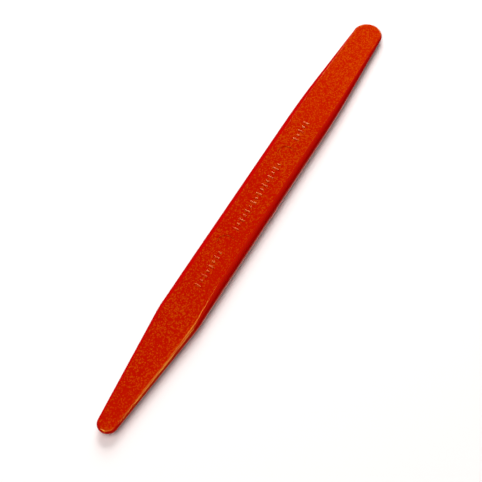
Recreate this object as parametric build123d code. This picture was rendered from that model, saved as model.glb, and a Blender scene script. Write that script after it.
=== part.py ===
from build123d import *
import math
import os

# A double-ended opening stick, or spudger: one solid injection moulding in red plastic.
# Frame: X runs along the stick towards the wide blade, Y across it, Z up.
# The origin is the middle of the stick's box, on the surface that the stick rests on.

# ---- Driving dimensions, in millimetres ----
LENGTH = 150.0
WIDTH = 12.1
THICKNESS = 3.8

# Plan outline
NOSE_RADIUS = 2.77            # half-round tip of the narrow blade
NARROW_TAPER = 36.0           # length over which the narrow end widens to the grip
WIDE_TAPER = 36.4             # length over which the wide end narrows from the grip
WIDE_END_HALF_WIDTH = 4.12    # half-width that the wide taper would reach at the very end
NARROW_BLEND = 30.0           # radius that softens the narrow shoulder in plan
WIDE_BLEND = 300.0            # radius that softens the wide shoulder in plan

# Side profile: half the thickness, the same above and below the middle plane
NARROW_TIP_HALF = 0.75
NARROW_NECK_HALF = 1.05
NARROW_NECK = 29.0            # from the narrow tip to where the blade starts to thicken
NARROW_RAMP_END = 49.0        # from the narrow tip to where the full thickness starts
WIDE_TIP_HALF = 0.45
WIDE_RAMP = 44.0              # length over which the wide end thins to its tip
RAMP_BLEND = 120.0            # radius that softens each change of slope in the side profile

# Moulding details
PIN_DIAMETER = 4.9            # round ejector marks on the top face
PIN_DEPTH = 0.08
PIN_STATIONS = (60.5, 94.0)   # from the narrow tip
GATE_STATION = 75.8           # stub left on the side where the plastic was let in
GATE_LENGTH = 3.2
GATE_HEIGHT = 0.9
GATE_PROUD = 0.1
GATE_ROOT = 0.9               # how far the stub runs into the side

# Raised generic marks in three rows along the top face: plain bars across the stick
MARK_HEIGHT = 0.12
MARK_WIDTH = 0.45
MARK_PITCH = 1.6
MARK_ROOT = 0.3               # how far a bar runs down into the body
MARK_ROWS = ((45.8, 8), (65.6, 16), (99.6, 5))   # first bar from the narrow tip, number of bars
MARK_LENGTHS = (2.0, 1.2)     # long and short bars in turn

TIP_STEP = 9                  # degrees between the cross-sections round each tip
TIP_START = 3                 # degrees from the axis to the outermost cross-section

MIDDLE = THICKNESS / 2        # height of the parting plane
FULL_HALF_WIDTH = WIDTH / 2

# The changes of slope from the narrow tip on: how far each blend reaches to either side of one,
# and how many straight runs it is made of. The two that bound the flat underside have one run,
# so that the stick stands on the flat's own four corners.
BLENDS = (
    (NARROW_NECK, 1.8, 4),
    (NARROW_TAPER, 1.5, 4),
    (NARROW_RAMP_END, 2.6, 1),
    (LENGTH - WIDE_RAMP, 2.0, 1),
    (LENGTH - WIDE_TAPER, 4.6, 4),
)


def soft_corner(x, corner, left_slope, right_slope, radius, value):
    """The value at x of two straight runs that meet at (corner, value), softened by an arc."""
    turn = math.atan(right_slope) - math.atan(left_slope)
    reach = radius * math.tan(abs(turn) / 2)
    offset = x - corner
    if offset <= -reach:
        return value + left_slope * offset
    if offset >= reach:
        return value + right_slope * offset
    start = value - left_slope * reach
    along = offset + reach
    return start + left_slope * along + math.copysign(along**2 / (2 * radius), turn)


def tangent_slope(run, rise, radius):
    """Slope of the line through a point at (run, rise) from a circle's centre, touching the circle."""
    return math.tan(math.atan2(rise, run) - math.asin(radius / math.hypot(run, rise)))


NARROW_SLOPE = tangent_slope(NARROW_TAPER - NOSE_RADIUS, FULL_HALF_WIDTH, NOSE_RADIUS)
WIDE_SLOPE = (WIDE_END_HALF_WIDTH - FULL_HALF_WIDTH) / WIDE_TAPER
WIDE_ANGLE = math.atan(-WIDE_SLOPE)
END_RADIUS = WIDE_END_HALF_WIDTH * math.cos(WIDE_ANGLE) / (1 - math.sin(WIDE_ANGLE))
NOSE_END = NOSE_RADIUS * (1 - math.sin(math.atan(NARROW_SLOPE)))
END_START = LENGTH - END_RADIUS * (1 - math.sin(WIDE_ANGLE))


def half_width(x):
    """Half the width of the plan outline, x from the narrow tip."""
    if x < NOSE_END:
        return math.sqrt(max(NOSE_RADIUS**2 - (NOSE_RADIUS - x) ** 2, 0))
    if x > END_START:
        return math.sqrt(max(END_RADIUS**2 - (x - LENGTH + END_RADIUS) ** 2, 0))
    if x < LENGTH / 2:
        return soft_corner(x, NARROW_TAPER, NARROW_SLOPE, 0, NARROW_BLEND, FULL_HALF_WIDTH)
    return soft_corner(x, LENGTH - WIDE_TAPER, 0, WIDE_SLOPE, WIDE_BLEND, FULL_HALF_WIDTH)


def half_thickness(x):
    """Half the thickness of the flat faces, x from the narrow tip, before the tips are rounded."""
    full = THICKNESS / 2
    blade = (NARROW_NECK_HALF - NARROW_TIP_HALF) / NARROW_NECK
    ramp = (full - NARROW_NECK_HALF) / (NARROW_RAMP_END - NARROW_NECK)
    wedge = (WIDE_TIP_HALF - full) / WIDE_RAMP
    if x < (NARROW_NECK + NARROW_RAMP_END) / 2:
        return soft_corner(x, NARROW_NECK, blade, ramp, RAMP_BLEND, NARROW_NECK_HALF)
    if x < LENGTH / 2:
        return soft_corner(x, NARROW_RAMP_END, ramp, 0, RAMP_BLEND, full)
    return soft_corner(x, LENGTH - WIDE_RAMP, 0, wedge, RAMP_BLEND, full)


def rounded_half_thickness(x):
    """Half the thickness with the rim of each tip rounded over, as the long sides are."""
    half = half_thickness(x)
    to_tip = min(x, LENGTH - x)
    if to_tip >= half:
        return half
    return math.sqrt(max(half**2 - (half - to_tip) ** 2, 0))


def section(x):
    """Cross-section: flat top and bottom, and fully rounded sides."""
    place = Plane(origin=(x - LENGTH / 2, 0, MIDDLE), x_dir=(0, 1, 0), z_dir=(1, 0, 0))
    return place * SlotOverall(2 * half_width(x), 2 * rounded_half_thickness(x))


def stations():
    """Where the cross-sections stand: close together round the tips, and through each blend."""
    tip_angles = [math.radians(angle) for angle in (TIP_START, *range(TIP_STEP, 90, TIP_STEP))]
    nose = [NOSE_RADIUS * (1 - math.cos(angle)) for angle in tip_angles]
    end = [LENGTH - END_RADIUS * (1 - math.cos(angle)) for angle in tip_angles]
    blends = []
    for corner, reach, runs in BLENDS:
        blends += [corner + reach * (2 * run / runs - 1) for run in range(runs + 1)]
    return sorted(nose + blends + end)


def body():
    """Ruled from section to section. The sections at the very tips are only slivers."""
    return loft([section(x) for x in stations()], ruled=True)


def pin_mark(x):
    """The shallow disc that an ejector pin leaves in the top face."""
    top = MIDDLE + half_thickness(x)
    return Pos(x - LENGTH / 2, 0, top) * Cylinder(PIN_DIAMETER / 2, 2 * PIN_DEPTH)


def gate_stub():
    """The trimmed stub of the gate, on the parting plane of the -Y side."""
    depth = GATE_PROUD + GATE_ROOT
    stub = Box(GATE_LENGTH, depth, GATE_HEIGHT, align=(Align.CENTER, Align.MIN, Align.CENTER))
    return Pos(GATE_STATION - LENGTH / 2, -FULL_HALF_WIDTH - GATE_PROUD, MIDDLE) * stub


def marks():
    """Plain raised bars, long and short in turn, standing in rows on the top face."""
    bars = []
    for first, count in MARK_ROWS:
        for number in range(count):
            x = first + number * MARK_PITCH
            top = MIDDLE + half_thickness(x) + MARK_HEIGHT
            length = MARK_LENGTHS[number % len(MARK_LENGTHS)]
            bar = extrude(SlotOverall(length, MARK_WIDTH, rotation=90), -MARK_HEIGHT - MARK_ROOT)
            bars.append(Pos(x - LENGTH / 2, 0, top) * bar)
    return bars


def opening_stick():
    stick = body()
    stick -= [pin_mark(x) for x in PIN_STATIONS]
    stick += [gate_stub(), *marks()]
    return stick


os.makedirs("parts", exist_ok=True)
stick = opening_stick()
export_step(stick, "parts/opening_stick.step")
print("opening_stick", stick.bounding_box().size, "volume", round(stick.volume, 1))
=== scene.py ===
# %% [markdown]
# # A double-ended opening stick
#
# The tool is one injection moulding in red plastic, 150 mm long. One end is a narrow
# blade with a half-round tip, the other a wide and very thin one, and the middle is a
# flat grip. This lesson makes it from one flat outline, which is raised to a plate,
# thinned towards both ends and rounded along its sides.

# %% Load the frame
import math

import bmesh
import bpy
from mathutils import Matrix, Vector


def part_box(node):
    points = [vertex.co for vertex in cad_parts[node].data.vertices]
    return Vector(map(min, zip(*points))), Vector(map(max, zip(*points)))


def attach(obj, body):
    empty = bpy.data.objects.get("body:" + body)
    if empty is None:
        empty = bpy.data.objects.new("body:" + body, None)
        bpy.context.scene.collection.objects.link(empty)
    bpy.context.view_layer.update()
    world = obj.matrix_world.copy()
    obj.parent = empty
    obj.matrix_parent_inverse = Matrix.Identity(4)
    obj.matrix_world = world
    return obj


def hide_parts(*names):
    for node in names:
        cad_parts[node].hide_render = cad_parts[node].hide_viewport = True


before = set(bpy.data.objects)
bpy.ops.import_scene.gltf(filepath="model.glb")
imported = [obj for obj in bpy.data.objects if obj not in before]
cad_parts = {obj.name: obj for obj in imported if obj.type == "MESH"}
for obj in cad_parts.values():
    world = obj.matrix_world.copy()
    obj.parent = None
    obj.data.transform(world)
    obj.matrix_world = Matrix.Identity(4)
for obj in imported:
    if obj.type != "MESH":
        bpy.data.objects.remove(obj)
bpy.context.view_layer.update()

# %% [markdown]
# ## The size of the moulding
#
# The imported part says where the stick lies: its box gives the length, the resting
# plane and the highest point, which is the top of the small raised marks. What the box
# can't say is how the outline and the thickness run between the tips, so those lengths
# are written here in millimetres, measured along the stick from the narrow tip.

# %% Lengths in metres
MM = 0.001

low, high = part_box("opening_stick")
LENGTH = 150 * MM
HALF_WIDTH = 6.05 * MM
THICKNESS = 3.8 * MM
MIDDLE = THICKNESS / 2
TIP_X = (low.x + high.x) / 2 - LENGTH / 2    # where the narrow tip is

NOSE_RADIUS = 2.77 * MM                      # half-round tip of the narrow blade
NARROW_TAPER = 36 * MM                       # how far each taper runs in from its tip
WIDE_TAPER = 36.4 * MM
WIDE_END = 4.12 * MM                         # half-width that the wide taper would reach at the tip
NARROW_BLEND = 30 * MM                       # radius that softens each shoulder in plan
WIDE_BLEND = 300 * MM

NARROW_TIP_HALF = 0.75 * MM                  # half the thickness at the narrow tip,
NECK_HALF = 1.05 * MM                        # where the ramp starts,
WIDE_TIP_HALF = 0.45 * MM                    # and at the wide tip
NARROW_NECK = 29 * MM                        # from the narrow tip to the start of its ramp
NARROW_RAMP = 20 * MM                        # length of that ramp
WIDE_RAMP = 44 * MM                          # length over which the wide end thins
RAMP_BLEND = 120 * MM                        # radius that softens each change of slope
HAIR = 0.05 * MM                             # "the same place", when points are picked
FINE_HAIR = 0.005 * MM                       # the same, along a cut
FINEST_HAIR = 0.002 * MM                     # and where the points of a round tip lie close together
ROUND = 64                                   # points on a full circle
print("stick from", round(TIP_X / MM, 2), "to", round((TIP_X + LENGTH) / MM, 2), "mm")


# %% [markdown]
# ## How the outline and the thickness change
#
# A mould maker draws such a tool with straight runs and softens each change of
# direction with a large arc. One small function gives the height of two straight runs
# that meet in an arc, and it serves both for the outline seen from above and for the
# thickness seen from the side.

# %% Two straight runs with a soft corner
def soft_corner(x, corner, left, right, radius, value):
    """Height at x of two runs of these slopes that meet at (corner, value), softened by an arc."""
    turn = math.atan(right) - math.atan(left)
    reach = radius * math.tan(abs(turn) / 2)
    if abs(x - corner) >= reach:
        return value + (left if x < corner else right) * (x - corner)
    along = x - corner + reach
    return value - left * reach + left * along + math.copysign(along**2 / (2 * radius), turn)


shoulder = math.atan2(HALF_WIDTH, NARROW_TAPER - NOSE_RADIUS)
lean = shoulder - math.asin(NOSE_RADIUS / math.hypot(HALF_WIDTH, NARROW_TAPER - NOSE_RADIUS))
NARROW_SLOPE = math.tan(lean)
WIDE_SLOPE = (WIDE_END - HALF_WIDTH) / WIDE_TAPER
wide_lean = math.atan(-WIDE_SLOPE)
END_RADIUS = WIDE_END * math.cos(wide_lean) / (1 - math.sin(wide_lean))


def half_width(x):
    """Half the width of the stick, x from the narrow tip, between the two round tips."""
    if x < LENGTH / 2:
        return soft_corner(x, NARROW_TAPER, NARROW_SLOPE, 0, NARROW_BLEND, HALF_WIDTH)
    return soft_corner(x, LENGTH - WIDE_TAPER, 0, WIDE_SLOPE, WIDE_BLEND, HALF_WIDTH)


def half_thickness(x):
    """Half the thickness of the stick, x from the narrow tip."""
    blade = (NECK_HALF - NARROW_TIP_HALF) / NARROW_NECK
    ramp = (MIDDLE - NECK_HALF) / NARROW_RAMP
    wedge = (WIDE_TIP_HALF - MIDDLE) / WIDE_RAMP
    if x < NARROW_NECK + NARROW_RAMP / 2:
        return soft_corner(x, NARROW_NECK, blade, ramp, RAMP_BLEND, NECK_HALF)
    if x < LENGTH / 2:
        return soft_corner(x, NARROW_NECK + NARROW_RAMP, ramp, 0, RAMP_BLEND, MIDDLE)
    return soft_corner(x, LENGTH - WIDE_RAMP, 0, wedge, RAMP_BLEND, MIDDLE)


print("widths", [round(2 * half_width(x * MM) / MM, 2) for x in (5, 20, 75, 130)])
print("thicknesses", [round(2 * half_thickness(x * MM) / MM, 2) for x in (5, 20, 75, 130)])


# %% [markdown]
# ## Picking points by their place
#
# With no mouse, the points, edges and faces to work on are chosen by a test on where
# they are. Everything is deselected first, because an operator acts on all that is
# selected.

# %% Pick, and start a new piece
def pick(kind, test):
    """In edit mode, selects only the points, edges or faces (kind) that pass the test."""
    bpy.ops.mesh.select_mode(type=kind)
    bpy.ops.mesh.select_all(action="DESELECT")
    mesh = bpy.context.edit_object.data
    edit = bmesh.from_edit_mesh(mesh)
    parts = {"VERT": edit.verts, "EDGE": edit.edges, "FACE": edit.faces}[kind]
    chosen = [part for part in parts if test(part)]
    for part in chosen:
        part.select_set(True)
    edit.select_flush_mode()
    bmesh.update_edit_mesh(mesh)
    return len(chosen)


def begin():
    """Object mode with nothing selected."""
    if bpy.context.mode != "OBJECT":
        bpy.ops.object.mode_set(mode="OBJECT")
    bpy.ops.object.select_all(action="DESELECT")


def name_piece(name):
    """Names the active object, and writes its place into its mesh."""
    piece = bpy.context.object
    piece.name = piece.data.name = name
    bpy.ops.object.transform_apply(location=True, rotation=True, scale=True)
    return piece


# %% [markdown]
# ## The flat outline
#
# Both tips are nearly half-round, so the outline starts as two circles, one at each
# end. The half of each circle that faces the other is deleted, straight edges join the
# open ends, and one face fills the ring. A plate drawn this way keeps true round tips.

# %% Two tips and the straight sides
begin()
bpy.ops.mesh.primitive_circle_add(vertices=ROUND, radius=NOSE_RADIUS, location=(TIP_X + NOSE_RADIUS, 0, 0))
stick = name_piece("red_opening_stick")
bpy.ops.object.mode_set(mode="EDIT")
nose_end = TIP_X + NOSE_RADIUS * (1 - math.sin(lean))
pick("VERT", lambda v: v.co.x > nose_end + HAIR)
bpy.ops.mesh.delete(type="VERT")

end_centre = TIP_X + LENGTH - END_RADIUS
bpy.ops.mesh.select_all(action="DESELECT")
bpy.ops.mesh.primitive_circle_add(vertices=ROUND, radius=END_RADIUS, location=(end_centre, 0, 0))
pick("VERT", lambda v: 0 < v.co.x < end_centre - HAIR)
bpy.ops.mesh.delete(type="VERT")

for side in (1, -1):
    pick("VERT", lambda v: len(v.link_edges) == 1 and v.co.y * side > 0)
    bpy.ops.mesh.edge_face_add()
bpy.ops.mesh.select_mode(type="EDGE")
bpy.ops.mesh.select_all(action="SELECT")
bpy.ops.mesh.edge_face_add()
print("outline", len(bmesh.from_edit_mesh(stick.data).verts), "points")

# %% [markdown]
# The sides are still straight from tip to tip. Cuts straight across give them points to
# move, and each pair of points is then pulled out to the width that the stick has
# there. The cuts are close together where an arc softens a shoulder.

# %% Cut across, and pull the sides out
NARROW_CUTS = [4, 8, 12, 16, 20, 24, 27.4, 28.2, 29, 29.8, 30.6, 32, 33.8, 34.7, 35.3, 36, 36.7, 37.3,
               38.2, 40, 43, 46.4, 47.7, 49, 50.3, 51.6, 55]
GRIP_CUTS = range(59, 103, 4)
WIDE_CUTS = [104, 105, 106, 107, 108, 109.8, 111.7, 113.6, 115.5, 117.4, 119.4, 121.6,
             125, 129, 133, 137, 141]
CUTS = [*NARROW_CUTS, *GRIP_CUTS, *WIDE_CUTS]
for cut in CUTS:
    bpy.ops.mesh.select_all(action="SELECT")
    bpy.ops.mesh.bisect(plane_co=(TIP_X + cut * MM, 0, 0), plane_no=(1, 0, 0))
for cut in CUTS:
    x = TIP_X + cut * MM
    pick("VERT", lambda v: abs(v.co.x - x) < FINE_HAIR)
    edge = max(abs(v.co.y) for v in bmesh.from_edit_mesh(stick.data).verts if v.select)
    bpy.ops.transform.resize(value=(1, half_width(cut * MM) / edge, 1), center_override=(x, 0, 0))
print("outline", len(bmesh.from_edit_mesh(stick.data).verts), "points after", len(CUTS), "cuts")

# %% [markdown]
# ## The plate and its wedges
#
# The outline is extruded to the full thickness, and each cross-section is then squeezed
# towards the middle plane. Both ends thin by the same amount above and below, as the
# two halves of a mould do, so the stick lies on its flat grip with both tips raised.

# %% Extrude, then thin both ends
bpy.ops.mesh.select_all(action="SELECT")
bpy.ops.mesh.extrude_region_move(TRANSFORM_OT_translate={"value": (0, 0, THICKNESS)})
for x in sorted({round(v.co.x, 6) for v in bmesh.from_edit_mesh(stick.data).verts}):
    pick("VERT", lambda v: abs(v.co.x - x) < FINEST_HAIR)
    squeeze = half_thickness(x - TIP_X) / MIDDLE
    bpy.ops.transform.resize(value=(1, 1, squeeze), center_override=(x, 0, MIDDLE))
bpy.ops.mesh.select_all(action="SELECT")
bpy.ops.mesh.normals_make_consistent(inside=False)
print("plate", len(bmesh.from_edit_mesh(stick.data).faces), "faces")

# %% [markdown]
# ## Fully rounded sides
#
# The section of the real stick is a slot shape: flat above and below, and half-round at
# the sides, so it is comfortable to hold. A bevel on the rims does that. Its width has
# to follow the thickness, so each rim edge carries a bevel weight, which is the share
# of the full thickness that the stick has there.

# %% Weight the rims and bevel them
edit = bmesh.from_edit_mesh(stick.data)
weight = edit.edges.layers.float.new("bevel_weight_edge")
for edge in edit.edges:
    flat = [abs(face.normal.z) > 0.5 for face in edge.link_faces]
    if flat[0] != flat[1]:
        x = (edge.verts[0].co.x + edge.verts[1].co.x) / 2
        edge[weight] = half_thickness(x - TIP_X) / MIDDLE
bmesh.update_edit_mesh(stick.data)
begin()
bpy.context.view_layer.objects.active = stick


def finish_with(piece, kind, **settings):
    """Adds a modifier to the piece with these settings, and applies it."""
    bpy.context.view_layer.objects.active = piece
    modifier = piece.modifiers.new(kind.title(), kind)
    for key, value in settings.items():
        setattr(modifier, key, value)
    bpy.ops.object.modifier_apply(modifier=modifier.name)


ROUNDED = 0.985    # of the half thickness; the rest stays as an upright band on the parting line
finish_with(stick, "BEVEL", limit_method="WEIGHT", offset_type="OFFSET", width=ROUNDED * MIDDLE,
            segments=12, use_clamp_overlap=False, loop_slide=False)
print("rounded", len(stick.data.polygons), "faces")

# %% [markdown]
# ## The parting line
#
# The two halves of the mould meet on the middle plane, and a hair of plastic creeps
# between them. The bevel left a narrow upright band there. Moving it outwards by a few
# hundredths of a millimetre makes the low ridge that a fingernail can feel.

# %% A witness ridge along the middle
bpy.ops.object.mode_set(mode="EDIT")
RIDGE = 0.025 * MM
UPRIGHT = 0.02                               # largest tilt of a face that counts as upright
ON_THE_LINE = 0.01 * MM                      # farthest that its centre lies from the middle plane
band = pick("FACE", lambda f: abs(f.normal.z) < UPRIGHT
            and abs(f.calc_center_median().z - MIDDLE) < ON_THE_LINE)
bpy.ops.mesh.extrude_region_shrink_fatten(TRANSFORM_OT_shrink_fatten={"value": RIDGE})
print("ridge on", band, "faces")
begin()

# %% [markdown]
# ## Ejector marks
#
# Two round pins push the moulding out of the mould and leave shallow discs in the top
# face. A short cylinder, with its lower rim bevelled, is subtracted from the stick. The
# discs are about a tenth of a millimetre deep, and show by the faint arc of their rim.

# %% Sink two discs
PIN_RADIUS = 2.45 * MM
PIN_DEPTH = 0.12 * MM
PIN_SOFTENING = 0.06 * MM                    # bevel at the bottom of each disc
PIN_STATIONS = (60.5 * MM, 94 * MM)          # from the narrow tip
CUTTER = 1 * MM
for station in PIN_STATIONS:
    begin()
    bpy.ops.mesh.primitive_cylinder_add(
        vertices=ROUND, radius=PIN_RADIUS, depth=CUTTER,
        location=(TIP_X + station, 0, THICKNESS - PIN_DEPTH + CUTTER / 2))
    pin = name_piece("pin_cutter")
    bpy.ops.object.mode_set(mode="EDIT")
    pick("EDGE", lambda e: all(v.co.z < THICKNESS for v in e.verts))
    bpy.ops.mesh.bevel(offset=PIN_SOFTENING, segments=3)
    begin()
    finish_with(stick, "BOOLEAN", object=pin, operation="DIFFERENCE", solver="EXACT")
    bpy.data.objects.remove(pin)
print("discs of", 2 * PIN_RADIUS / MM, "mm")

# %% [markdown]
# ## Raised marks
#
# Three rows of small marks stand on the middle of the top face. They are plain bars
# here, long and short in turn. One bar of each length is modelled with round ends and a
# soft top, and the rest are copies that each keep their own mesh.

# %% One bar of each length
MARK_HEIGHT = 0.12 * MM
MARK_DEPTH = 0.3 * MM                        # how far a bar runs down into the stick
MARK_WIDTH = 0.5 * MM
MARK_LENGTHS = (2.0 * MM, 1.2 * MM)          # long and short in turn
MARK_ROUNDING = 0.2 * MM                     # of the upright corners
MARK_SOFTENING = 0.11 * MM                   # of the top rim
MARK_PITCH = 1.6 * MM
ROWS = ((45.8 * MM, 8), (65.6 * MM, 16), (99.6 * MM, 5))    # first bar from the narrow tip, and how many


def make_bar(length):
    """A bar across the stick at the origin, with its top MARK_HEIGHT above it."""
    begin()
    bpy.ops.mesh.primitive_cube_add(size=1, location=(0, 0, (MARK_HEIGHT - MARK_DEPTH) / 2),
                                    scale=(MARK_WIDTH, length, MARK_HEIGHT + MARK_DEPTH))
    bar = name_piece("bar")
    bpy.ops.object.mode_set(mode="EDIT")
    pick("EDGE", lambda e: abs(e.verts[0].co.z - e.verts[1].co.z) > MARK_HEIGHT)
    bpy.ops.mesh.bevel(offset=MARK_ROUNDING, segments=4)
    pick("FACE", lambda f: f.normal.z > 0.5)
    bpy.ops.mesh.bevel(offset=MARK_SOFTENING, segments=2)
    begin()
    return bar


patterns = [make_bar(length) for length in MARK_LENGTHS]
print("a bar has", len(patterns[0].data.polygons), "faces")

# %% Copy the bars along the three rows
bars = []
for first, count in ROWS:
    for number in range(count):
        x = first + number * MARK_PITCH
        bar = patterns[number % len(patterns)].copy()
        bar.data = bar.data.copy()
        bpy.context.collection.objects.link(bar)
        bar.location = (TIP_X + x, 0, MIDDLE + half_thickness(x))
        bars.append(bar)
begin()
for bar in bars:
    bar.select_set(True)
bpy.context.view_layer.objects.active = bars[0]
bpy.ops.object.join()
marks = name_piece("marks")
finish_with(stick, "BOOLEAN", object=marks, operation="UNION", solver="EXACT")
for used in (marks, *patterns):
    bpy.data.objects.remove(used)
print(len(bars), "bars,", len(stick.data.polygons), "faces in the stick")

# %% [markdown]
# ## The gate
#
# The plastic was let in through a small opening in the middle of one side. Breaking the
# runner off leaves a stub with torn ends. A block is cut in five along its length, and
# its points are moved a little so that no two facets are alike.

# %% A broken stub on the parting line
GATE_STATION = 75.8 * MM                     # from the narrow tip
GATE_LENGTH, GATE_DEPTH, GATE_HEIGHT = 3.2 * MM, 1 * MM, 0.9 * MM
GATE_PROUD = 0.1 * MM                        # how far it stands out of the side
TEAR = 0.12 * MM                             # how far a full share moves the torn face in
TEARS = ((-0.5, 0.35), (-0.3, 0.05), (-0.08, 0.5),
         (0.16, 0.15), (0.34, 0.45), (0.5, 0.1))    # place along the stub, and share of TEAR

begin()
gate_x = TIP_X + GATE_STATION
bpy.ops.mesh.primitive_cube_add(size=1, location=(gate_x, -HALF_WIDTH + GATE_DEPTH / 2 - GATE_PROUD, MIDDLE),
                                scale=(GATE_LENGTH, GATE_DEPTH, GATE_HEIGHT))
gate = name_piece("gate")
bpy.ops.object.mode_set(mode="EDIT")
for share, _ in TEARS[1:-1]:
    bpy.ops.mesh.select_all(action="SELECT")
    bpy.ops.mesh.bisect(plane_co=(gate_x + share * GATE_LENGTH, 0, 0), plane_no=(1, 0, 0))
for (share, tear), (_, swell) in zip(TEARS, reversed(TEARS)):
    x = gate_x + share * GATE_LENGTH
    pick("VERT", lambda v: abs(v.co.x - x) < FINE_HAIR and v.co.y < -HALF_WIDTH)
    bpy.ops.transform.translate(value=(0, tear * TEAR, 0))
    bpy.ops.transform.resize(value=(1, 1, 0.8 + 0.4 * swell), center_override=(x, 0, MIDDLE))
bpy.ops.mesh.select_all(action="SELECT")
bpy.ops.mesh.normals_make_consistent(inside=False)
begin()
finish_with(stick, "BOOLEAN", object=gate, operation="UNION", solver="EXACT")
bpy.data.objects.remove(gate)
print("with the gate", len(stick.data.polygons), "faces")

# %% [markdown]
# ## Shading
#
# The sides should look round and the flats dead flat. Smooth shading alone would bend
# the light across the flats next to each rim. Weighted normals give the large flat
# faces the last word, and edges sharper than 40 degrees stay crisp.

# %% Smooth sides, flat flats
begin()
stick.select_set(True)
bpy.context.view_layer.objects.active = stick
bpy.ops.object.shade_smooth_by_angle(angle=math.radians(40))
finish_with(stick, "WEIGHTED_NORMAL", mode="FACE_AREA", weight=100, keep_sharp=True)
closed = bmesh.new()
closed.from_mesh(stick.data)
open_edges = sum(not edge.is_manifold for edge in closed.edges)
print("open edges", open_edges, "volume", round(closed.calc_volume() / MM**3), "mm3")
closed.free()


# %% [markdown]
# ## Moulded red plastic
#
# Opening sticks of this kind are moulded from ABS or nylon, coloured through, with an
# IOR near 1.53. The flat faces of the mould were spark-eroded, which leaves a fine dull
# grain, while the rounded sides were polished and have a clear gloss. So the material
# asks where the surface faces: near straight up or down it is grained, elsewhere smooth.

# %% Colours and nodes
def linear(hex_colour):
    """An sRGB hex colour as the linear RGBA that a shader takes."""
    channels = [int(hex_colour[i:i + 2], 16) / 255 for i in (1, 3, 5)]
    return [c / 12.92 if c <= 0.04045 else ((c + 0.055) / 1.055) ** 2.4 for c in channels] + [1.0]


def add_node(tree, kind, settings=None, **inputs):
    """Adds a node. Settings go on the node; inputs take a value or another node's output."""
    node = tree.nodes.new(kind)
    for key, value in (settings or {}).items():
        setattr(node, key, value)
    for key, value in inputs.items():
        socket = node.inputs[int(key[1:]) if key[0] == "_" else key.replace("_", " ")]
        if isinstance(value, bpy.types.NodeSocket):
            tree.links.new(value, socket)
        else:
            socket.default_value = value
    return node


def blank_material(name):
    """A material with an empty node tree."""
    material = bpy.data.materials.new(name)
    material.use_nodes = True
    material.node_tree.nodes.clear()
    return material, material.node_tree


# %% [markdown]
# A spark-eroded mould is covered in overlapping craters of about a tenth of a millimetre. That is too fine
# to show at this distance, so they are drawn at about 0.3 mm: Voronoi cells, each a crater for the relief.
# Some cells are painted orange: painted glints that stand in for light catching the grain. A slow noise
# makes these painted glints come and go. They grow towards the wide tip, a painted sheen for the brighter
# reflection at that end.
#
# The dull faces and the polished sides need different gloss. The faces have none of the shader's own, whose
# white would wash out the red, but a thin orange sheen instead. The sides are clear and mirror the lamps in
# a warm tint. They are also painted a lighter red than the faces, painted light that brightens the rounded
# sides. The raised bars lie in between.

# %% Where the plastic is dull
plastic, tree = blank_material("moulded_red_abs_spark_eroded")
place = add_node(tree, "ShaderNodeTexCoord")
where = add_node(tree, "ShaderNodeSeparateXYZ", Vector=place.outputs["Object"])
upright = add_node(tree, "ShaderNodeSeparateXYZ", Vector=place.outputs["Normal"])
facing = add_node(tree, "ShaderNodeMath", {"operation": "ABSOLUTE"}, _0=upright.outputs["Z"])
level_faces = add_node(tree, "ShaderNodeMapRange", {"interpolation_type": "SMOOTHSTEP"},
                       Value=facing.outputs[0], From_Min=0.990, From_Max=0.998)

# The bars stand within 1 mm of the middle line, and the first is 45.8 mm from the narrow tip.
across = add_node(tree, "ShaderNodeMath", {"operation": "ABSOLUTE"}, _0=where.outputs["Y"])
in_row = add_node(tree, "ShaderNodeMapRange", Value=across.outputs[0],
                  From_Min=1.2 * MM, From_Max=1.5 * MM, To_Min=0.35, To_Max=0.0)
past_neck = add_node(tree, "ShaderNodeMapRange", Value=where.outputs["X"],
                     From_Min=TIP_X + 41 * MM, From_Max=TIP_X + 43 * MM)
bar_zone = add_node(tree, "ShaderNodeMath", {"operation": "MULTIPLY"},
                    _0=in_row.outputs[0], _1=past_neck.outputs[0])
dull = add_node(tree, "ShaderNodeMath", {"operation": "MAXIMUM"},
                _0=level_faces.outputs[0], _1=bar_zone.outputs[0])

# %% Craters, with painted orange glints on the red
CRATER, DRIFT = 1 / (0.30 * MM), 1 / (16 * MM)    # cells, and the slow noise, per metre
craters = add_node(tree, "ShaderNodeTexVoronoi", Vector=place.outputs["Object"], Scale=CRATER)
tone = add_node(tree, "ShaderNodeSeparateColor", Color=craters.outputs["Color"])
drift = add_node(tree, "ShaderNodeTexNoise", Vector=place.outputs["Object"], Scale=DRIFT, Detail=1.0)
# Painted glints: the craters that this noise and the slope below pick out are painted orange, in place of
# light glinting off the grain.
glint_drift = add_node(tree, "ShaderNodeMapRange", Value=drift.outputs["Fac"],
                       From_Min=0.35, From_Max=0.65, To_Min=-0.1, To_Max=0.1)
# Painted sheen: more craters are painted orange towards the wide tip, for the brighter reflection at that
# end.
along = add_node(tree, "ShaderNodeMapRange", Value=where.outputs["X"],
                 From_Min=-LENGTH / 2, From_Max=LENGTH / 2, To_Min=-0.18, To_Max=-0.02)
orange = add_node(tree, "ShaderNodeMath", {"operation": "ADD"},
                  _0=glint_drift.outputs[0], _1=along.outputs[0])
glint_chance = add_node(tree, "ShaderNodeMath", {"operation": "ADD"},
                 _0=tone.outputs["Red"], _1=orange.outputs[0])
# Which craters carry a painted orange glint.
painted_glints = add_node(tree, "ShaderNodeMapRange", Value=glint_chance.outputs[0], From_Min=0.50, From_Max=0.80)
painted_glints_on_dull = add_node(tree, "ShaderNodeMath", {"operation": "MULTIPLY"},
                    _0=painted_glints.outputs[0], _1=dull.outputs[0])
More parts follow.
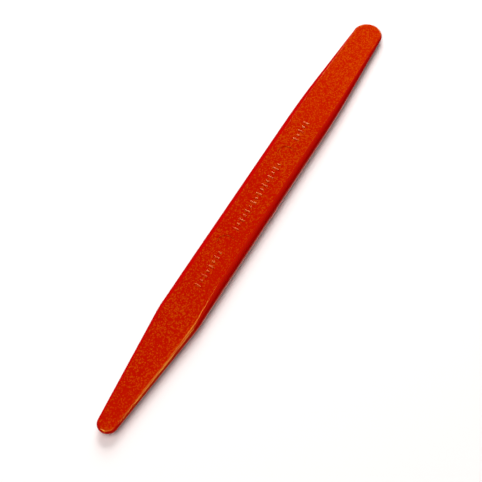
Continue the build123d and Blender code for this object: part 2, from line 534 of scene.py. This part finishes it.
# Painted light: the polished sides (#B20000) are painted a lighter red than the dull faces (#A70000), to
# brighten the rounded sides.
depth = add_node(tree, "ShaderNodeMix", {"data_type": "RGBA"}, _0=dull.outputs[0],
                 _6=linear("#B20000"), _7=linear("#A70000"))
# The painted orange glints go over the red here.
colour = add_node(tree, "ShaderNodeMix", {"data_type": "RGBA"}, _0=painted_glints_on_dull.outputs[0],
                  _6=depth.outputs[2], _7=linear("#B03800"))

# %% The plastic
SHEEN_SHARE = 0.022
POLISHED, GRAINED = 0.07, 0.42               # roughness
rough = add_node(tree, "ShaderNodeMapRange", Value=dull.outputs[0], To_Min=POLISHED, To_Max=GRAINED)
level = add_node(tree, "ShaderNodeMapRange", Value=dull.outputs[0], To_Min=0.5, To_Max=0.0)
relief = add_node(tree, "ShaderNodeMath", {"operation": "MULTIPLY"},
                  _0=craters.outputs["Distance"], _1=dull.outputs[0])
bump = add_node(tree, "ShaderNodeBump", Height=relief.outputs[0], Strength=0.3, Distance=0.06 * MM)
body = add_node(tree, "ShaderNodeBsdfPrincipled", Base_Color=colour.outputs[2],
                Roughness=rough.outputs[0], IOR=1.53, Specular_IOR_Level=level.outputs[0],
                Specular_Tint=linear("#FFED50"), Normal=bump.outputs[0])
sheen = add_node(tree, "ShaderNodeBsdfAnisotropic", Color=linear("#FF7600"),
                 Roughness=GRAINED, Normal=bump.outputs[0])
share = add_node(tree, "ShaderNodeMath", {"operation": "MULTIPLY"}, _0=dull.outputs[0], _1=SHEEN_SHARE)
shader = add_node(tree, "ShaderNodeMixShader",
                  _0=share.outputs[0], _1=body.outputs[0], _2=sheen.outputs[0])
add_node(tree, "ShaderNodeOutputMaterial", Surface=shader.outputs[0])
stick.data.materials.clear()
stick.data.materials.append(plastic)
print("material", plastic.name, "with", len(tree.nodes), "nodes")

# %% The stick takes the frame's place
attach(stick, "root")
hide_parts("opening_stick")

# %% [markdown]
# ## The table
#
# The stick lies on a plain white table. It is a 60 cm square, a little below the resting
# face so that the two never share a surface. Its white is a matt paint. Gloss doesn't
# mirror it, so the rounded sides show the room's own tones instead: light from straight
# below, dark towards the horizon.

# %% A pale floor
TABLE, TABLE_GAP = 0.6, 0.01 * MM
begin()
bpy.ops.mesh.primitive_plane_add(size=TABLE, location=(0, 0, low.z - TABLE_GAP))
floor = name_piece("white_table")
paper, tree = blank_material("white_matt_paint")
shader = add_node(tree, "ShaderNodeBsdfPrincipled", Base_Color=linear("#F4F2F1"), Roughness=0.9)
shader.inputs["Specular IOR Level"].default_value = 0.1
add_node(tree, "ShaderNodeOutputMaterial", Surface=shader.outputs[0])
floor.data.materials.append(paper)
floor.visible_glossy = False
print("table at", round(floor.data.vertices[0].co.z / MM, 2), "mm")


# %% [markdown]
# ## Studio light
#
# A large soft lamp beyond the wide end and on the far side throws a short soft shadow
# along the near side, and a second one overhead fills the rest. Four more lamps only
# show in the gloss: one gives the dull faces their sheen, two draw the thin bright lines
# along the rim of the narrow blade, and one draws the curve on its tip. The key lamp
# isn't mirrored, so that the shadow and the sheen can be set apart.

# %% Lamps
def lamp(name, towards, distance, width, height, power, colour="#FFFFFF"):
    """A soft lamp aimed at the stick, towards that direction. Sizes in metres, power in watts."""
    begin()
    direction = Vector(towards).normalized()
    bpy.ops.object.light_add(type="AREA", location=direction * distance)
    light = bpy.context.object
    light.name = name
    light.rotation_euler = direction.to_track_quat("Z", "Y").to_euler()
    light.data.shape = "RECTANGLE"
    light.data.size, light.data.size_y = width, height
    light.data.energy = power
    light.data.color = linear(colour)[:3]
    return light


key = lamp("key_behind", (0.80, 0.45, 0.60), 0.9, 0.55, 0.55, 9.4)
key.visible_glossy = False
lamp("fill_above", (-0.45, 0.10, 1.0), 1.0, 0.8, 1.1, 8.4, "#FFF0EE")
glints = [
    lamp("sheen", (0.90, 0.25, 0.42), 0.9, 0.50, 0.50, 8),
    lamp("rim_top", (0.199, 0.034, 0.979), 0.587, 0.15, 0.09, 0.50),
    lamp("rim_right", (0.132, -0.636, 0.760), 0.593, 0.066, 0.12, 0.38),
    lamp("tip_low", (-0.583, 0.233, 0.778), 0.643, 0.25, 0.10, 0.95),
]
for light in glints:
    light.visible_diffuse = False
print("lamps that only show in the gloss:", len(glints))

# %% [markdown]
# The room behind the lamps is white where the camera looks at it, and otherwise grey:
# bright below, as a white table is, dark round the horizon and grey above.

# %% The room
world = bpy.data.worlds.new("studio")
bpy.context.scene.world = world
world.use_nodes = True
tree = world.node_tree
tree.nodes.clear()
way = add_node(tree, "ShaderNodeTexCoord")
height = add_node(tree, "ShaderNodeSeparateXYZ", Vector=way.outputs["Generated"])
shade = add_node(tree, "ShaderNodeValToRGB", Fac=add_node(
    tree, "ShaderNodeMapRange", Value=height.outputs["Z"], From_Min=-1.0, From_Max=1.0).outputs[0])
STOPS = ((0.0, "#F0E8E8"), (0.22, "#E6DCDC"), (0.27, "#303030"),
         (0.62, "#1C1C1C"), (0.85, "#606060"), (1.0, "#808080"))    # from straight down to straight up
ramp = shade.color_ramp
while len(ramp.elements) < len(STOPS):
    ramp.elements.new(0.5)
for element, (position, grey) in zip(ramp.elements, STOPS):
    element.position, element.color = position, linear(grey)
seen = add_node(tree, "ShaderNodeBackground", Color=linear("#FFFFFF"), Strength=1.0)
felt = add_node(tree, "ShaderNodeBackground", Color=shade.outputs[0], Strength=1.0)
ray = add_node(tree, "ShaderNodeLightPath")
mixed = add_node(tree, "ShaderNodeMixShader",
                 _0=ray.outputs["Is Camera Ray"], _1=felt.outputs[0], _2=seen.outputs[0])
add_node(tree, "ShaderNodeOutputWorld", Surface=mixed.outputs[0])
bpy.context.scene.view_settings.view_transform = "Standard"
print("room tones", [grey for _, grey in STOPS])

# %% [markdown]
# ## The camera
#
# The stick is seen from the side of its narrow tip and from well above, at about 30 cm,
# so the near blade looks larger than the far one. The lens is a short telephoto.

# %% Camera
AZIMUTH, ELEVATION, DISTANCE = math.radians(-60.66), math.radians(58.10), 310.1 * MM
AIM_X, AIM_Y, AIM_Z = -10.046 * MM, -2.007 * MM, 0.071 * MM    # from the middle of the resting face
aim = Vector((TIP_X + LENGTH / 2 + AIM_X, AIM_Y, low.z + AIM_Z))
back = Vector((math.sin(AZIMUTH) * math.cos(ELEVATION),
               -math.cos(AZIMUTH) * math.cos(ELEVATION),
               math.sin(ELEVATION)))
begin()
bpy.ops.object.camera_add(location=aim + back * DISTANCE, rotation=back.to_track_quat("Z", "Y").to_euler())
camera = bpy.context.object
camera.data.sensor_width = 36
camera.data.lens = 86.4
camera.data.clip_start = 0.01
bpy.context.scene.camera = camera
print("camera at", [round(c / MM) for c in camera.location], "mm")
